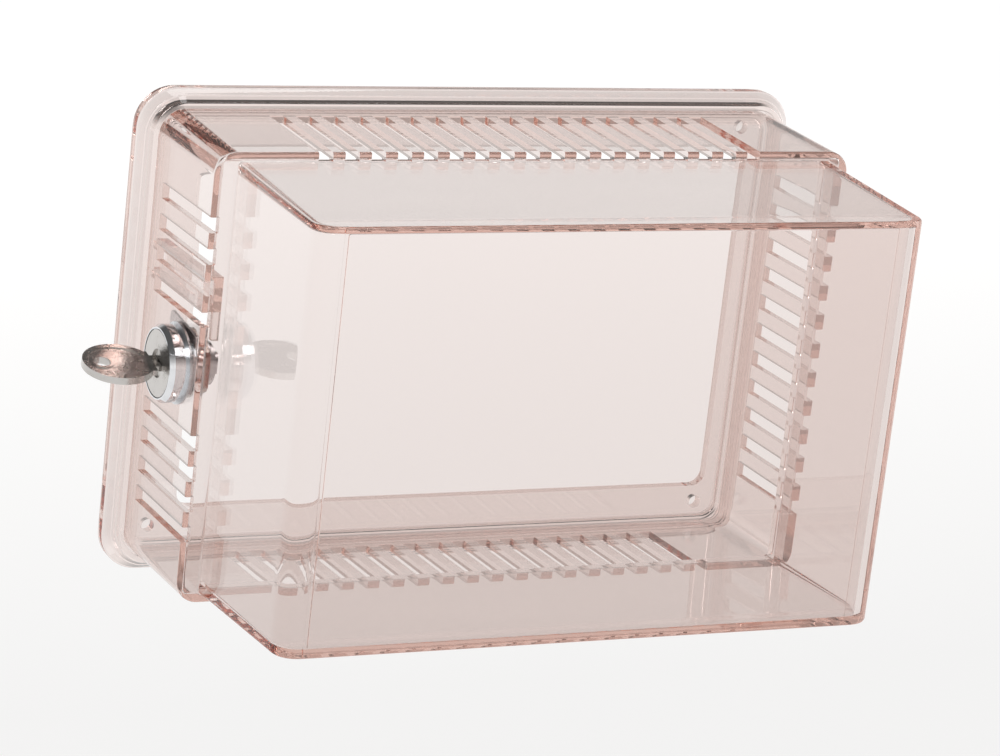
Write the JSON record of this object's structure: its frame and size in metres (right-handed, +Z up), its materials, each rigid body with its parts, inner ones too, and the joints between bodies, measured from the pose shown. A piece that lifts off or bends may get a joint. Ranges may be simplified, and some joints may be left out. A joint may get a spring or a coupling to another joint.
{
  "type": "locking wall guard",
  "caption": "Clear ventilated two-tier cover on an open wall frame, locked by a cam lock in its end, for guarding a wall thermostat.",
  "frame": {"origin": "centre of the four wall screw holes in the plane of the wall", "axes": "+X right along the long side, +Z up, the front plate faces -Y and the wall is at Y = 0"},
  "size_m": [0.2628, 0.122, 0.1624],
  "materials": {
    "clear_base": "clear moulded plastic, faint pink",
    "clear_cover": "clear moulded plastic, faint pink",
    "chrome": "polished",
    "steel": "zinc plated",
    "nickel": "nickel plated",
    "brass": "stamped"
  },
  "bodies": {
    "base": {"base_frame": "clear_base"},
    "cover": {"cover_shell": "clear_cover", "lock_housing": "chrome", "lock_trim_washer": "steel", "lock_backing_plate": "steel", "lock_nut_washer": "steel", "lock_nut": "nickel"},
    "plug": {"lock_plug": "chrome", "stop_washer": "steel", "cam": "steel", "cam_washer": "steel", "cam_screw": "steel", "wafer_springs": "steel"},
    "key": {"key": "nickel"},
    "wafer_1": {"wafer_1": "brass"},
    "wafer_2": {"wafer_2": "brass"},
    "wafer_3": {"wafer_3": "brass"},
    "wafer_4": {"wafer_4": "brass"},
    "wafer_5": {"wafer_5": "brass"},
    "wafer_6": {"wafer_6": "brass"}
  },
  "joints": [
    {"name": "cover_lift", "type": "slide", "parent": "base", "child": "cover", "axis": [0, -1, 0], "range_m": [0, 0.09]},
    {"name": "plug_turn", "type": "hinge", "parent": "cover", "child": "plug", "pos_m": [-0.1126, -0.04, 0.0012], "axis": [1, 0, 0], "range_deg": [0, 90]},
    {"name": "key_withdraw", "type": "slide", "parent": "plug", "child": "key", "axis": [-1, 0, 0], "range_m": [0, 0.03]},
    {"name": "wafer_1_slide", "type": "slide", "parent": "plug", "child": "wafer_1", "axis": [0, -0.9744, -0.225], "range_m": [0, 0.0007]},
    {"name": "wafer_2_slide", "type": "slide", "parent": "plug", "child": "wafer_2", "axis": [0, -0.9744, -0.225], "range_m": [0, 0.0007]},
    {"name": "wafer_3_slide", "type": "slide", "parent": "plug", "child": "wafer_3", "axis": [0, -0.9744, -0.225], "range_m": [0, 0.0007]},
    {"name": "wafer_4_slide", "type": "slide", "parent": "plug", "child": "wafer_4", "axis": [0, -0.9744, -0.225], "range_m": [0, 0.0007]},
    {"name": "wafer_5_slide", "type": "slide", "parent": "plug", "child": "wafer_5", "axis": [0, -0.9744, -0.225], "range_m": [0, 0.0007]},
    {"name": "wafer_6_slide", "type": "slide", "parent": "plug", "child": "wafer_6", "axis": [0, -0.9744, -0.225], "range_m": [0, 0.0007]}
  ],
  "couplings": [
    {"joint": "wafer_1_slide", "follows": "key_withdraw", "ratio": 0.023333},
    {"joint": "wafer_2_slide", "follows": "key_withdraw", "ratio": 0.023333},
    {"joint": "wafer_3_slide", "follows": "key_withdraw", "ratio": 0.023333},
    {"joint": "wafer_4_slide", "follows": "key_withdraw", "ratio": 0.023333},
    {"joint": "wafer_5_slide", "follows": "key_withdraw", "ratio": 0.023333},
    {"joint": "wafer_6_slide", "follows": "key_withdraw", "ratio": 0.023333}
  ]
}
